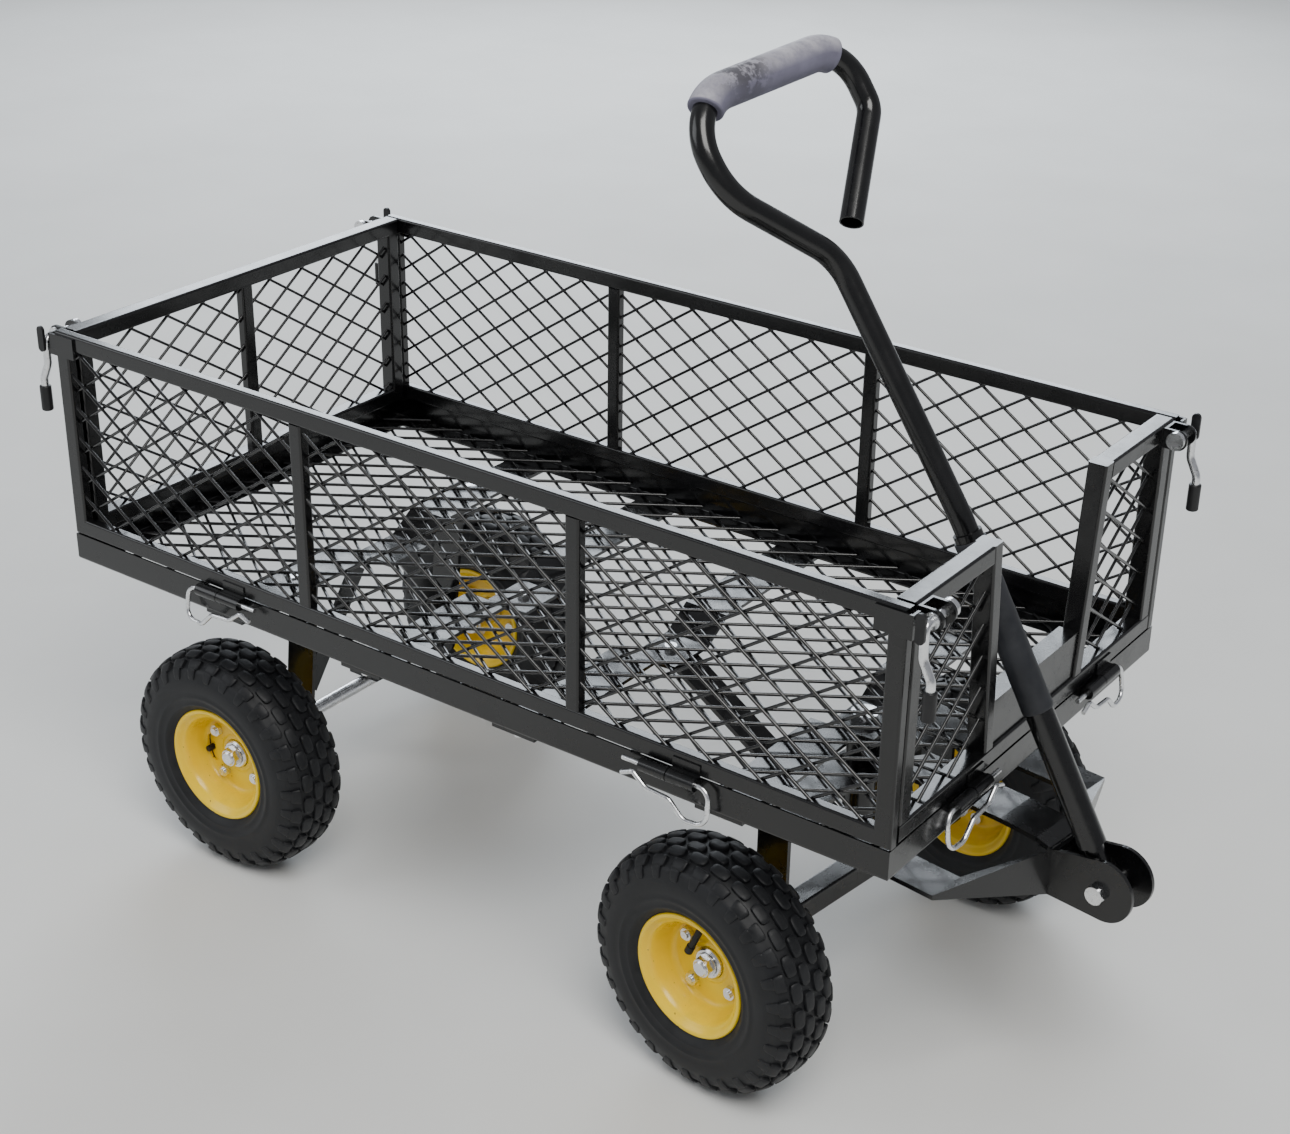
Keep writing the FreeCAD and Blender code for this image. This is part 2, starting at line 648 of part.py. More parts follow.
# the foam grip covers the loop's top run and the start of the bend at each end of it
left_bend, top_run, right_bend = handle_line[7:10]
left_end = left_bend.LastParameter
right_start = right_bend.FirstParameter
left_part = left_bend.Curve.toShape(left_end - math.radians(GRIP_LEFT_TURN), left_end)
right_part = right_bend.Curve.toShape(right_start, right_start + math.radians(GRIP_RIGHT_TURN))
grip = sweep([left_part, top_run, right_part], GRIP_RADIUS)
grip = grip.makeFillet(2.0, [e for e in grip.Edges if e.Closed and e.Length < 2.01 * math.pi * GRIP_RADIUS])
nodes["handle_grip"] = grip.cut(upper)

# the handle hangs askew on its bolt, so its cross hole is square to the bolt and not to the tube
for name in ("handle_lower_tube", "handle_sleeve", "handle_upper_tube", "handle_grip"):
    nodes[name].rotate(pivot, V(1, 0, 0), HANDLE_SIDE_LEAN)
nodes["handle_lower_tube"] = nodes["handle_lower_tube"].cut(
    rod(V(HITCH_X, -40, HITCH_Z), V(HITCH_X, 40, HITCH_Z), HITCH_BOLT_RADIUS + RUNNING_CLEARANCE)
)


# ---------------------------------------------------------------- wheels
def turned(profile, x, y_side):
    """Revolve a closed (radius, offset) profile about a wheel's axis; positive offset is outboard."""
    loop = [V(x + r, y_side * (WHEEL_Y + t), WHEEL_RADIUS) for r, t in profile]
    face = Part.Face(Part.makePolygon(loop + [loop[0]]))
    return face.revolve(V(x, 0, WHEEL_RADIUS), V(0, 1, 0), 360)


def tyre_profile():
    """The tyre's section: rounded crown and sidewalls, a hollow inside, and two beads on the rim."""
    outside = []
    steps = 14
    for i in range(steps + 1):
        turn = math.pi * (i / steps - 0.5)
        wide = math.copysign(abs(math.sin(turn)) ** 0.72, turn)
        high = abs(math.cos(turn)) ** 0.62
        outside.append((90.0 + (WHEEL_RADIUS - 90.0) * high, TYRE_HALF_WIDTH * wide))
    bead = [(74.0, 40.5), (66.9, 34.2), (64.6, 31.2), (61.6, 30.8), (58.2, 28.5), (58.2, 25.0)]
    hollow = [(66.0, 26.0), (76.0, 33.5), (90.0, 35.0), (106.0, 32.5), (115.0, 24.0), (119.0, 12.0)]
    right = bead + hollow
    left = [(r, -t) for r, t in reversed(right)]
    return outside + right + left


RIM_SHEET = 2.2


def rim_profile(side):
    """One pressed half of the rim: rolled lip, bead seat, deep barrel and flat centre disc."""
    s = RIM_SHEET
    outer = [
        (RIM_LIP_RADIUS, RIM_LIP_OFFSET),
        (RIM_LIP_RADIUS - 1.5, RIM_LIP_OFFSET + 1.6),
        (RIM_LIP_RADIUS - 4.5, RIM_LIP_OFFSET + 1.2),
        (55.0, 30.0),
        (52.5, 26.0),
        (48.0, 8.0),
        (44.0, s),
        (HUB_RADIUS, s),
    ]
    back = [
        (HUB_RADIUS, 0.02),
        (45.5, 0.02),
        (50.2, 7.0),
        (54.6, 24.6),
        (57.0, 28.2),
        (61.5, 31.2),
        (RIM_LIP_RADIUS - 1.8, RIM_LIP_OFFSET - 2.4),
    ]
    return [(r, side * t) for r, t in outer + back]


def hub_profile():
    bore = AXLE_RADIUS + RUNNING_CLEARANCE
    low, high = HUB_INNER_END, HUB_OUTER_END
    return [
        (bore, low),
        (14.5, low),
        (HUB_RADIUS, low + 1.5),
        (HUB_RADIUS, high - 1.5),
        (14.5, high),
        (12.6, high),
        (12.6, high - 1.4),
        (bore, high - 1.4),
    ]


def valve_slot(x, side):
    """The slot through the outboard disc, near its rim, which the valve stem comes out of."""
    low, high = side * (WHEEL_Y - 1), side * (WHEEL_Y + 14)
    z = WHEEL_RADIUS + VALVE_CIRCLE
    reach, half = VALVE_SLOT_REACH, VALVE_SLOT_RADIUS
    shapes = [box(x - reach, x + reach, low, high, z - half, z + half)]
    for end in (x - reach, x + reach):
        shapes.append(rod(V(end, low, z), V(end, high, z), half))
    return fuse(shapes)


def valve(x, side, bent):
    """The rubber valve stem: bent over with its cap on it, or only a short straight one in the slot."""
    z = WHEEL_RADIUS + VALVE_CIRCLE
    root = V(x, side * (WHEEL_Y + 0.3), z)
    if not bent:
        return rod(root, root + V(0, side * 9, 0), VALVE_RADIUS)
    elbow = V(x, side * (WHEEL_Y + 10), z)
    tip = V(x - 19, side * (WHEEL_Y + 12), WHEEL_RADIUS + 10)
    stem = pipe([root, elbow, tip], [VALVE_RADIUS + 2], VALVE_RADIUS)
    cap_start = tip + (elbow - tip).normalize() * 9
    return fuse([stem, rod(cap_start, tip, VALVE_RADIUS + 0.8)])


def wheel(name, x, side, wheel_turn):
    """One wheel.  wheel_turn is how far it has rolled round, in degrees about the outboard axle line."""
    nodes["tyre_" + name] = group([turned(tyre_profile(), x, side), valve(x, side, name.startswith("front"))])
    halves = []
    for half in (-1, 1):
        piece = turned(rim_profile(half), x, side)
        for i in range(4):
            turn = math.radians(45 + 90 * i)
            cx = x + RIM_BOLT_CIRCLE * math.cos(turn)
            cz = WHEEL_RADIUS + RIM_BOLT_CIRCLE * math.sin(turn)
            piece = piece.cut(rod(V(cx, side * (WHEEL_Y - 20), cz), V(cx, side * (WHEEL_Y + 20), cz), 4.0))
        if half > 0:
            piece = piece.cut(valve_slot(x, side))
        halves.append(piece)
    nodes["rim_" + name] = group(halves)
    fittings = [turned(hub_profile(), x, side)]
    for i in range(4):
        turn = math.radians(45 + 90 * i)
        cx = x + RIM_BOLT_CIRCLE * math.cos(turn)
        cz = WHEEL_RADIUS + RIM_BOLT_CIRCLE * math.sin(turn)
        face = WHEEL_Y + RIM_SHEET
        back = WHEEL_Y - RIM_SHEET
        shank = rod(V(cx, side * back, cz), V(cx, side * (face + 8), cz), 4.0)
        head = hexagon(V(cx, side * back, cz), V(0, -side, 0), 13.0, 5.0)
        nut = hexagon(V(cx, side * face, cz), V(0, side, 0), 13.0, 5.5)
        fittings.append(fuse([shank, head, nut]))
    nodes["hub_" + name] = group(fittings)
    for part_name in ("tyre_", "rim_", "hub_"):
        nodes[part_name + name].rotate(V(x, 0, WHEEL_RADIUS), V(0, side, 0), wheel_turn)


wheel("front_left", FRONT_WHEEL_X, 1, 40.0)
wheel("front_right", FRONT_WHEEL_X, -1, 9.0)
wheel("rear_left", REAR_WHEEL_X, 1, 70.0)
wheel("rear_right", REAR_WHEEL_X, -1, 99.0)

# ---------------------------------------------------------------- hinges, drawn for the right-hand side
def barrel_pair(centre):
    """Two short barrels on one pin line along X: the first belongs to the tray, the second to the panel."""
    y = -HALF_W - HINGE_OFFSET
    made = []
    for start, leaf_z in ((centre - 30.5, HINGE_Z - 5.0), (centre + 0.5, HINGE_Z + 4.2)):
        barrel = rod(V(start, y, HINGE_Z), V(start + 30.0, y, HINGE_Z), BARREL_RADIUS)
        leaf = box(start, start + 30.0, y, -HALF_W, leaf_z - 1.5, leaf_z + 1.5)
        if leaf_z > HINGE_Z:
            end = start + 30.0
            leaf = leaf.fuse(box(start, end, -HALF_W - 1.5, -HALF_W, leaf_z - 1.0, PANEL_BOTTOM + 12))
            below = box(start - 1, end + 1, -HALF_W - 1.6, -HALF_W + 1, HINGE_Z - 20, PANEL_BOTTOM - 2)
            leaf = leaf.cut(below)
        hole = rod(V(start - 1, y, HINGE_Z), V(start + 31, y, HINGE_Z), HINGE_WIRE + 0.06)
        made.append(fuse([barrel, leaf]).cut(hole))
    return made


def hairpin(centre, ring_side):
    """The hairpin clip: its straight leg is the hinge pin and its bowed leg hangs outside, below it."""
    s = ring_side
    line = [
        (-51, 0, 0),
        (45, 0, 0),
        (46, -5, -36),
        (22, -7, -36),
        (6, -7, -20),
        (-20, -7, -18),
        (-35, -6, -6.5),
        (-48, -6, -12),
    ]
    points = [V(centre + s * a, -HALF_W - HINGE_OFFSET + out, HINGE_Z + up) for a, out, up in line]
    return pipe(points, [12.0, 12.0, 12.0, 10.0, 12.0, 4.0], HINGE_WIRE)


tray_barrels, clips = [], []
side_hinges = {"right": [], "left": []}
end_hinges = {"rear": [], "front": []}
for end in (-1, 1):
    x = end * SIDE_HINGE_X
    fixed, moving = barrel_pair(x)
    clip = hairpin(x, end)
    tray_barrels += [fixed, mirror_y(fixed)]
    clips += [clip, mirror_y(clip)]
    side_hinges["right"].append(moving)
    side_hinges["left"].append(mirror_y(moving))
for end in (-1, 1):
    y = end * END_HINGE_Y
    fixed, moving = barrel_pair(y)
    clip = hairpin(y, end)
    for shape in (fixed, moving, clip):
        shape.rotate(V(0, 0, 0), V(0, 0, 1), 90)
        shape.translate(V(HALF_L - HALF_W, 0, 0))
    tray_barrels += [fixed, mirror_x(fixed)]
    clips += [clip, mirror_x(clip)]
    end_hinges["front"].append(moving)
    end_hinges["rear"].append(mirror_x(moving))
nodes["tray_hinge_barrels"] = group(tray_barrels)
nodes["hinge_clips"] = group(clips)

# ---------------------------------------------------------------- side panels
side_frame = rectangle_frame(
    HALF_L, PANEL_BOTTOM, PANEL_TOP, -HALF_W, -HALF_W + SIDE_RAIL_DEPTH, SIDE_RAIL_HEIGHT, "x"
)
for x in (-SIDE_MID_POST_X, SIDE_MID_POST_X):
    side_frame.append(
        square_tube(
            x - MID_POST_WIDTH / 2,
            x + MID_POST_WIDTH / 2,
            -HALF_W,
            -HALF_W + SIDE_RAIL_DEPTH,
            PANEL_BOTTOM + SIDE_RAIL_HEIGHT,
            PANEL_TOP - SIDE_RAIL_HEIGHT,
            "z",
            TUBE_WALL,
        )
    )
bay_low = PANEL_BOTTOM + SIDE_RAIL_HEIGHT
bay_high = PANEL_TOP - SIDE_RAIL_HEIGHT
wire_y = -HALF_W + SIDE_RAIL_DEPTH / 2
bay_edges = [-HALF_L + SIDE_RAIL_HEIGHT]
for x in (-SIDE_MID_POST_X, SIDE_MID_POST_X):
    bay_edges += [x - MID_POST_WIDTH / 2, x + MID_POST_WIDTH / 2]
bay_edges.append(HALF_L - SIDE_RAIL_HEIGHT)
bays = []
for i in (0, 2, 4):
    bays.append(box(bay_edges[i], bay_edges[i + 1], -HALF_W, -HALF_W + SIDE_RAIL_DEPTH, bay_low, bay_high))
side_wires = diamond_wires(
    -HALF_L + SIDE_RAIL_HEIGHT,
    HALF_L - SIDE_RAIL_HEIGHT,
    bay_low,
    bay_high,
    WIRE,
    group(bays),
    lambda u, w, depth: V(u, wire_y + depth, w),
)


def keeper(end):
    """The small plate on a side panel's top corner that the latch holds."""
    outer = HALF_L + 6.5
    plate = box(end * (HALF_L - 30), end * outer, -HALF_W - 2.5, -HALF_W, PANEL_TOP - 26, PANEL_TOP - 3)
    hook = box(end * (HALF_L + 0.5), end * outer, -HALF_W - 2.5, -HALF_W + 9, PANEL_TOP - 26, PANEL_TOP - 3)
    cut = box(end * (HALF_L + 0.4), end * (outer - 2.5), -HALF_W, -HALF_W + 10, PANEL_TOP - 40, PANEL_TOP)
    return fuse([plate, hook]).cut(cut)


side_fittings = side_hinges["right"] + [keeper(-1), keeper(1)]
nodes["right_frame"] = group(side_frame)
nodes["right_mesh"] = group(side_wires)
nodes["right_fittings"] = group(side_fittings)
nodes["left_frame"] = mirror_y(group(side_frame))
nodes["left_mesh"] = mirror_y(group(side_wires))
nodes["left_fittings"] = mirror_y(group(side_fittings))

# ---------------------------------------------------------------- rear panel
rear_near, rear_far = -HALF_L, -HALF_L + END_RAIL_DEPTH
rear_frame = rectangle_frame(
    END_PANEL_HALF, PANEL_BOTTOM, PANEL_TOP, rear_near, rear_far, SIDE_RAIL_HEIGHT, "y"
)
half_post = MID_POST_WIDTH / 2
rear_frame.append(
    square_tube(rear_near + 4, rear_far - 4, -half_post, half_post, bay_low, bay_high, "z", TUBE_WALL)
)
rear_inner = END_PANEL_HALF - SIDE_RAIL_HEIGHT
rear_bays = [
    box(rear_near, rear_far, side * half_post, side * rear_inner, bay_low, bay_high) for side in (-1, 1)
]
rear_wire_x = (rear_near + rear_far) / 2
nodes["rear_frame"] = group(rear_frame)
nodes["rear_mesh"] = group(
    diamond_wires(
        -rear_inner,
        rear_inner,
        bay_low,
        bay_high,
        WIRE,
        group(rear_bays),
        lambda u, w, depth: V(rear_wire_x + depth, u, w),
    )
)

# ---------------------------------------------------------------- corner latches, drawn for the front right
ROD_X = HALF_L + ROD_OFFSET
BRACKET_INNER = -END_PANEL_HALF + 24.0
BRACKET_OUTER = -END_PANEL_HALF + 1.0
EAR_SHEET = 3.0


def latch_bracket():
    ears = []
    for y0 in (BRACKET_OUTER, BRACKET_INNER - EAR_SHEET):
        plate = box(HALF_L, ROD_X, y0, y0 + EAR_SHEET, ROD_Z - 11, ROD_Z + 9)
        nose = rod(V(ROD_X, y0, ROD_Z - 1), V(ROD_X, y0 + EAR_SHEET, ROD_Z - 1), 10.0)
        ears += [plate, nose]
    back = box(HALF_L, HALF_L + EAR_SHEET, BRACKET_OUTER, BRACKET_INNER, ROD_Z - 11, ROD_Z + 9)
    hole = rod(V(ROD_X, -300, ROD_Z), V(ROD_X, -100, ROD_Z), ROD_RADIUS + 0.06)
    return fuse(ears + [back]).cut(hole)


LEVER_Y = -HALF_W + 1.0
LEVER_CRANK = 10.0
LEVER_LENGTH = 84.0
LEVER_RADIUS = ROD_RADIUS - 0.3
KNOB_RADIUS = 6.2
KNOB_LENGTH = 28.0
TAB_HALF_WIDTH = 4.5
TAB_REACH = 9.5


def latch_lever():
    """Cross rod with a bush inside the bracket and a collar outside, its end bent down as a cranked lever."""
    split_y = LEVER_Y + 9
    low_x = ROD_X + LEVER_CRANK
    points = [
        V(ROD_X, split_y, ROD_Z),
        V(ROD_X, LEVER_Y, ROD_Z),
        V(ROD_X + 1, LEVER_Y, ROD_Z - 30),
        V(low_x, LEVER_Y, ROD_Z - 48),
        V(low_x, LEVER_Y, ROD_Z - LEVER_LENGTH + 4),
    ]
    bar = pipe(points, [8.0, 16.0, 14.0], LEVER_RADIUS)
    straight = rod(V(ROD_X, BRACKET_INNER + 6, ROD_Z), V(ROD_X, split_y, ROD_Z), ROD_RADIUS)
    bush = rod(V(ROD_X, BRACKET_INNER + 0.4, ROD_Z), V(ROD_X, BRACKET_INNER + 6, ROD_Z), 9.0)
    collar = rod(V(ROD_X, BRACKET_OUTER - 0.4, ROD_Z), V(ROD_X, BRACKET_OUTER - 3.4, ROD_Z), 7.5)
    return group([fuse([straight, bush, collar]), bar])


def latch_grip():
    """The black knob on the lever's end, and the oval tab pushed on the outside of the lever's bend."""
    end = V(ROD_X + LEVER_CRANK, LEVER_Y, ROD_Z - LEVER_LENGTH)
    knob = rod(end, end + V(0, 0, KNOB_LENGTH), KNOB_RADIUS)
    knob = knob.makeFillet(1.5, [e for e in knob.Edges if e.Closed])
    knob = knob.cut(rod(end + V(0, 0, 4), end + V(0, 0, 40), LEVER_RADIUS))
    near, far = LEVER_Y - 4.3, LEVER_Y - 7.5
    low, high = ROD_Z - TAB_REACH, ROD_Z + TAB_REACH
    shapes = [box(ROD_X - TAB_HALF_WIDTH, ROD_X + TAB_HALF_WIDTH, near, far, low, high)]
    for z in (low, high):
        shapes.append(rod(V(ROD_X, near, z), V(ROD_X, far, z), TAB_HALF_WIDTH))
    return group([knob, fuse(shapes)])


bracket, lever, knob = latch_bracket(), latch_lever(), latch_grip()
nodes["front_latch_brackets"] = group([bracket, mirror_y(bracket)])
nodes["rear_fittings"] = group(
    end_hinges["rear"] + [mirror_x(bracket), mirror_x(mirror_y(bracket))]
)
for name, move in (
    ("front_right", lambda s: s),
    ("front_left", mirror_y),
    ("rear_right", mirror_x),
    ("rear_left", lambda s: mirror_x(mirror_y(s))),
):
    nodes["latch_lever_" + name] = move(lever)
    nodes["latch_grip_" + name] = move(knob)

# ---------------------------------------------------------------- front panel with its notch
front_near, front_far = HALF_L - END_RAIL_DEPTH, HALF_L
rail = SIDE_RAIL_HEIGHT
bottom = square_tube(
    front_near, front_far, -END_PANEL_HALF, END_PANEL_HALF, PANEL_BOTTOM, bay_low, "y", TUBE_WALL
)
post = square_tube(
    front_near, front_far, -END_PANEL_HALF, -END_PANEL_HALF + rail, bay_low, PANEL_TOP, "z", TUBE_WALL
)
post = mitre_cut(post, (-END_PANEL_HALF, PANEL_TOP), 1, -1, 2000.0, ("z", "y"))
wing_rail = square_tube(
    front_near, front_far, -END_PANEL_HALF, -NOTCH_HALF_TOP - 12, bay_high, PANEL_TOP, "y", TUBE_WALL
)
wing_rail = mitre_cut(wing_rail, (-END_PANEL_HALF, PANEL_TOP), 1, -1, 2000.0, ("u", "y"))
lean_run = (NOTCH_HALF_TOP - NOTCH_HALF_BOTTOM) / (PANEL_TOP - NOTCH_FLOOR)
UPRIGHT_WIDTH = 16.0


def upright_edge(z):
    return -NOTCH_HALF_BOTTOM - (z - NOTCH_FLOOR) * lean_run


def upright_prism(inset, z0, z1):
    inner_low, inner_high = upright_edge(z0) - inset, upright_edge(z1) - inset
    outer_low = upright_edge(z0) - UPRIGHT_WIDTH + inset
    outer_high = upright_edge(z1) - UPRIGHT_WIDTH + inset
    x = front_near + inset
    depth = END_RAIL_DEPTH - 2 * inset
    corners = [(x, inner_low, z0), (x, inner_high, z1), (x, outer_high, z1), (x, outer_low, z0)]
    return prism(corners, (depth, 0, 0))


upright = upright_prism(0, bay_low, PANEL_TOP)
long_edges = [e for e in upright.Edges if abs(e.tangentAt(e.FirstParameter).z) > 0.9]
upright = upright.makeFillet(2.5, long_edges)
upright = upright.cut(upright_prism(TUBE_WALL, bay_low - 1, PANEL_TOP - TUBE_WALL))
wing_rail = wing_rail.cut(upright_prism(0, bay_high - 5, PANEL_TOP + 5))
wing_tubes = [post, wing_rail, upright]
nodes["front_frame"] = group([bottom] + wing_tubes + [mirror_y(s) for s in wing_tubes])
plate_x = front_far - 3.0
plate_face = prism(
    [
        (plate_x - PLATE_THICKNESS, upright_edge(bay_low), bay_low),
        (plate_x - PLATE_THICKNESS, -upright_edge(bay_low), bay_low),
        (plate_x - PLATE_THICKNESS, -upright_edge(NOTCH_FLOOR), NOTCH_FLOOR),
        (plate_x - PLATE_THICKNESS, upright_edge(NOTCH_FLOOR), NOTCH_FLOOR),
    ],
    (PLATE_THICKNESS, 0, 0),
)
flange_top = box(
    plate_x - PLATE_FLANGE,
    plate_x,
    upright_edge(NOTCH_FLOOR - 3),
    -upright_edge(NOTCH_FLOOR - 3),
    NOTCH_FLOOR - PLATE_THICKNESS,
    NOTCH_FLOOR,
)
nodes["front_plate"] = fuse([plate_face, flange_top])
wing_clip = prism(
    [
        (front_near, -END_PANEL_HALF + rail, bay_low),
        (front_near, upright_edge(bay_low) - UPRIGHT_WIDTH, bay_low),
        (front_near, upright_edge(bay_high) - UPRIGHT_WIDTH, bay_high),
        (front_near, -END_PANEL_HALF + rail, bay_high),
    ],
    (END_RAIL_DEPTH, 0, 0),
)
front_wire_x = (front_near + front_far) / 2
wing_wires = diamond_wires(
    -END_PANEL_HALF + rail,
    upright_edge(bay_low) - UPRIGHT_WIDTH,
    bay_low,
    bay_high,
    WIRE,
    wing_clip,
    lambda u, w, depth: V(front_wire_x + depth, u, w),
)
nodes["front_mesh"] = group(wing_wires + [mirror_y(s) for s in wing_wires])
nodes["front_hinge_barrels"] = group(end_hinges["front"])

# ---------------------------------------------------------------- rest angle, origin and files
STEERED = ("swivel_frame", "front_legs", "axle_beam", "front_axle", "tongue_", "hitch_", "handle_")
FRONT_WHEELS = ("front_left", "front_right")
for name, shape in nodes.items():
    part_of_wheel = name.split("_")[0] in ("tyre", "rim", "hub") and name.endswith(FRONT_WHEELS)
    if name.startswith(STEERED) or part_of_wheel:
        shape.rotate(V(KINGPIN_X, 0, 0), V(0, 0, 1), STEER_REST)
    shape.translate(V(-MIDDLE_OF_CART_X, 0, 0))

os.makedirs("parts", exist_ok=True)
for name, shape in nodes.items():
    if not shape.isValid():
        print("not valid:", name)
    shape.exportStep("parts/" + name + ".step")
print(len(nodes), "nodes")
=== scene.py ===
"""Looks for the garden cart: materials, tyres, pressed rims, the handle's sleeve, studio and camera.

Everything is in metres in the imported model's frame.  Sizes and places come from that frame.
"""
import json
import math

import bpy
import bmesh
import numpy as np
from mathutils import Matrix, Vector


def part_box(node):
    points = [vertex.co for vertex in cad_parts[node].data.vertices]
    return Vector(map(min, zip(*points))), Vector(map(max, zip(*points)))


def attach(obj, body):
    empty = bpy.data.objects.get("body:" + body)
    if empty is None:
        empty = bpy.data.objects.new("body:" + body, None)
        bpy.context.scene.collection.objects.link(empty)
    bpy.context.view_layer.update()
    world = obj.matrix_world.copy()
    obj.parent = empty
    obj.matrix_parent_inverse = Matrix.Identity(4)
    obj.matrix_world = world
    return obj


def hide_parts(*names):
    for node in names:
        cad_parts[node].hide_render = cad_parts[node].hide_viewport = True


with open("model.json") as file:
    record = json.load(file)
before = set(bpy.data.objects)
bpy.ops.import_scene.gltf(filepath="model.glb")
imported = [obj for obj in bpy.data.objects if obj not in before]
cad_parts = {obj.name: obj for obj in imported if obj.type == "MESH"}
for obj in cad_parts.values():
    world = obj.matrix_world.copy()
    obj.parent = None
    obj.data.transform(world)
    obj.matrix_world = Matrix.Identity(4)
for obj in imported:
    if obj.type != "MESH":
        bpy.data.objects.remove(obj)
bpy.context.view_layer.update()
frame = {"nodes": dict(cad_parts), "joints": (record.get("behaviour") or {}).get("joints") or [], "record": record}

NODES = frame["nodes"]
RECORD = frame["record"]
CORNERS = ("front_right", "front_left", "rear_right", "rear_left")
MM = 0.001


# ---------------------------------------------------------------- materials
def new_material(name):
    material = bpy.data.materials.new(name)
    material.use_nodes = True
    tree = material.node_tree
    shader = tree.nodes["Principled BSDF"]
    place = tree.nodes.new("ShaderNodeTexCoord")
    return material, tree, shader, place


def noise(tree, place, scale, detail=4.0, rough=0.55):
    node = tree.nodes.new("ShaderNodeTexNoise")
    node.inputs["Scale"].default_value = scale
    node.inputs["Detail"].default_value = detail
    node.inputs["Roughness"].default_value = rough
    tree.links.new(place.outputs["Object"], node.inputs["Vector"])
    return node


def ramp(tree, source, stops):
    """A colour ramp on a node's factor; stops are (position, colour)."""
    node = tree.nodes.new("ShaderNodeValToRGB")
    elements = node.color_ramp.elements
    while len(elements) < len(stops):
        elements.new(0.5)
    for element, (position, colour) in zip(elements, stops):
        element.position = position
        element.color = (*colour, 1.0)
    tree.links.new(source, node.inputs["Fac"])
    return node


def spread(tree, source, low, high, from_low=0.3, from_high=0.7):
    node = tree.nodes.new("ShaderNodeMapRange")
    node.inputs["From Min"].default_value = from_low
    node.inputs["From Max"].default_value = from_high
    node.inputs["To Min"].default_value = low
    node.inputs["To Max"].default_value = high
    tree.links.new(source, node.inputs["Value"])
    return node


def mix(tree, factor, first, second):
    """A colour socket mixed by a factor with a plain colour."""
    node = tree.nodes.new("ShaderNodeMix")
    node.data_type = "RGBA"
    tree.links.new(factor, node.inputs["Factor"])
    tree.links.new(first, node.inputs["A"])
    node.inputs["B"].default_value = (*second, 1.0)
    return node


def times(tree, first, second):
    node = tree.nodes.new("ShaderNodeMath")
    node.operation = "MULTIPLY"
    tree.links.new(first, node.inputs[0])
    tree.links.new(second, node.inputs[1])
    return node


def facing_up(tree):
    """0 on walls and undersides, rising to 1 on level tops."""
    geometry = tree.nodes.new("ShaderNodeNewGeometry")
    split = tree.nodes.new("ShaderNodeSeparateXYZ")
    tree.links.new(geometry.outputs["Normal"], split.inputs["Vector"])
    return spread(tree, split.outputs["Z"], 0.0, 1.0, 0.25, 0.95)


def bump(tree, shader, source, strength, distance, below=None):
    node = tree.nodes.new("ShaderNodeBump")
    node.inputs["Strength"].default_value = strength
    node.inputs["Distance"].default_value = distance
    tree.links.new(source, node.inputs["Height"])
    if below is not None:
        tree.links.new(below.outputs["Normal"], node.inputs["Normal"])
    tree.links.new(node.outputs["Normal"], shader.inputs["Normal"])
    return node


def paint(name, dark, light, roughness, dust, coat, chip=None):
    """Sprayed enamel: patchy tone, orange peel and dust settled on tops.

    dust is its colour and greatest cover.  Small chips are added where chip is a colour.
    """
    material, tree, shader, place = new_material(name)
    patches = noise(tree, place, 14.0, 5.0)
    tone = ramp(tree, patches.outputs["Fac"], [(0.32, dark), (0.68, light)])
    grime = noise(tree, place, 55.0, 7.0, 0.7)
    top = facing_up(tree)
    cover = spread(tree, grime.outputs["Fac"], 0.0, dust[1], 0.42, 0.75)
    settled = times(tree, top.outputs["Result"], cover.outputs["Result"])
    colour = mix(tree, settled.outputs["Value"], tone.outputs["Color"], dust[0])
    if chip is not None:
        flecks = noise(tree, place, 210.0, 2.0)
        worn = spread(tree, flecks.outputs["Fac"], 0.0, 1.0, 0.735, 0.755)
        colour = mix(tree, worn.outputs["Result"], colour.outputs["Result"], chip)
    tree.links.new(colour.outputs["Result"], shader.inputs["Base Color"])
    sheen = noise(tree, place, 32.0, 6.0, 0.65)
    matte = spread(tree, sheen.outputs["Fac"], roughness[0], roughness[1])
    tree.links.new(matte.outputs["Result"], shader.inputs["Roughness"])
    peel = noise(tree, place, 520.0, 2.0)
    ripple = noise(tree, place, 60.0, 3.0)
    broad = bump(tree, shader, ripple.outputs["Fac"], 0.03, 0.0005)
    bump(tree, shader, peel.outputs["Fac"], 0.06, 0.0002, broad)
    shader.inputs["Coat Weight"].default_value = coat
    shader.inputs["Coat Roughness"].default_value = 0.10
    shader.inputs["Specular IOR Level"].default_value = 0.42
    return material


def plated(name, dark, light, roughness):
    """Zinc plate: bright metal with cloudy passivation, fine drawn scratches and a few dull spots."""
    material, tree, shader, place = new_material(name)
    shader.inputs["Metallic"].default_value = 1.0
    clouds = noise(tree, place, 90.0, 5.0)
    tone = ramp(tree, clouds.outputs["Fac"], [(0.3, dark), (0.7, light)])
    spots = noise(tree, place, 420.0, 3.0)
    dull = spread(tree, spots.outputs["Fac"], 0.0, 0.75, 0.62, 0.72)
    colour = mix(tree, dull.outputs["Result"], tone.outputs["Color"], (0.36, 0.34, 0.31))
    tree.links.new(colour.outputs["Result"], shader.inputs["Base Color"])
    matte = spread(tree, clouds.outputs["Fac"], roughness[0], roughness[1])
    tree.links.new(matte.outputs["Result"], shader.inputs["Roughness"])
    stretch = tree.nodes.new("ShaderNodeMapping")
    stretch.inputs["Scale"].default_value = (1.0, 9.0, 9.0)
    tree.links.new(place.outputs["Object"], stretch.inputs["Vector"])
    lines = noise(tree, place, 260.0, 4.0)
    tree.links.new(stretch.outputs["Vector"], lines.inputs["Vector"])
    bump(tree, shader, lines.outputs["Fac"], 0.18, 0.00025)
    return material


